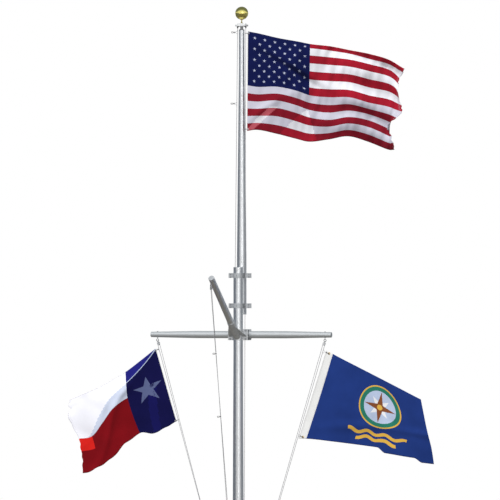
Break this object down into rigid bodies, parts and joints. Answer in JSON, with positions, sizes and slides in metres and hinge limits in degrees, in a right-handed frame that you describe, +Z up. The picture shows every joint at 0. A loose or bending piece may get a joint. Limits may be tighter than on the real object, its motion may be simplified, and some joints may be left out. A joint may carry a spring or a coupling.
{
  "type": "double-mast nautical flagpole with yard and gaff",
  "caption": "Tall aluminium flagpole in two clamped masts, with a crossed yard, a raked gaff, a ball finial on a revolving truck, halyards and flags.",
  "frame": {"origin": "centre of the base shoe's underside, at ground level", "axes": "+Z up the masts; +X along the yard to starboard; -Y towards the gaff's tip"},
  "size_m": [6.1155, 2.3062, 11.042],
  "materials": {
    "spun_aluminium": "satin, brushed round",
    "cast_aluminium": "as cast, fettled",
    "gold_anodised": "bright gold anodised",
    "stainless": "polished",
    "sheave_alloy": "machined, dull",
    "halyard_rope": "braided polyester",
    "masthead_flag_cloth": "woven nylon",
    "port_flag_cloth": "woven nylon",
    "starboard_flag_cloth": "woven nylon"
  },
  "bodies": {
    "root": {"base_shoe": "cast_aluminium", "gaff": "spun_aluminium", "gaff_block": "stainless", "gaff_cap": "spun_aluminium", "gaff_eyebolt": "stainless", "gaff_halyard": "halyard_rope", "halyard_cleats": "cast_aluminium", "halyard_snaps": "stainless", "lower_clamp_front": "cast_aluminium", "lower_clamp_rear": "cast_aluminium", "lower_clamp_saddle": "cast_aluminium", "lower_mast": "spun_aluminium", "lower_mast_cap": "spun_aluminium", "masthead_halyard_lower": "halyard_rope", "port_block": "stainless", "port_eyebolt": "stainless", "port_flag": "port_flag_cloth", "port_halyard": "halyard_rope", "port_yard_cap": "spun_aluminium", "starboard_block": "stainless", "starboard_eyebolt": "stainless", "starboard_flag": "starboard_flag_cloth", "starboard_halyard": "halyard_rope", "starboard_yard_cap": "spun_aluminium", "topmast": "spun_aluminium", "topmast_heel_cap": "spun_aluminium", "truck_spindle": "cast_aluminium", "upper_clamp_front": "cast_aluminium", "upper_clamp_rear": "cast_aluminium", "upper_clamp_saddle": "cast_aluminium", "yard": "spun_aluminium", "yard_fitting_front": "cast_aluminium", "yard_fitting_rear": "cast_aluminium", "yard_fitting_saddle": "cast_aluminium"},
    "truck": {"truck_body": "cast_aluminium", "finial_rod": "gold_anodised", "finial_ball": "gold_anodised", "masthead_flag": "masthead_flag_cloth", "masthead_flag_snaps": "stainless", "masthead_halyard_upper": "halyard_rope"},
    "truck_port_sheave": {"truck_port_sheave": "sheave_alloy"},
    "truck_starboard_sheave": {"truck_starboard_sheave": "sheave_alloy"},
    "port_sheave": {"port_sheave": "sheave_alloy"},
    "starboard_sheave": {"starboard_sheave": "sheave_alloy"},
    "gaff_sheave": {"gaff_sheave": "sheave_alloy"}
  },
  "joints": [
    {"name": "truck_swivel", "type": "hinge", "parent": "root", "child": "truck", "pos_m": [0, 0.163, 10.716], "axis": [0, 0, 1], "continuous": true, "deforming": ["masthead_halyard_lower"]},
    {"name": "truck_port_sheave_spin", "type": "hinge", "parent": "truck", "child": "truck_port_sheave", "pos_m": [-0.06682, 0.19705, 10.74], "axis": [0.454, 0.891, 0], "continuous": true},
    {"name": "truck_starboard_sheave_spin", "type": "hinge", "parent": "truck", "child": "truck_starboard_sheave", "pos_m": [0.06682, 0.12895, 10.74], "axis": [0.454, 0.891, 0], "continuous": true},
    {"name": "port_sheave_spin", "type": "hinge", "parent": "root", "child": "port_sheave", "pos_m": [-1.39781, 0.13421, 5.68288], "axis": [0.0081, 0.9996, -0.0279], "continuous": true},
    {"name": "starboard_sheave_spin", "type": "hinge", "parent": "root", "child": "starboard_sheave", "pos_m": [1.39781, 0.13421, 5.68288], "axis": [-0.0081, 0.9996, -0.0279], "continuous": true},
    {"name": "gaff_sheave_spin", "type": "hinge", "parent": "root", "child": "gaff_sheave", "pos_m": [0, -1.24507, 6.56958], "axis": [1, 0, 0], "continuous": true}
  ]
}
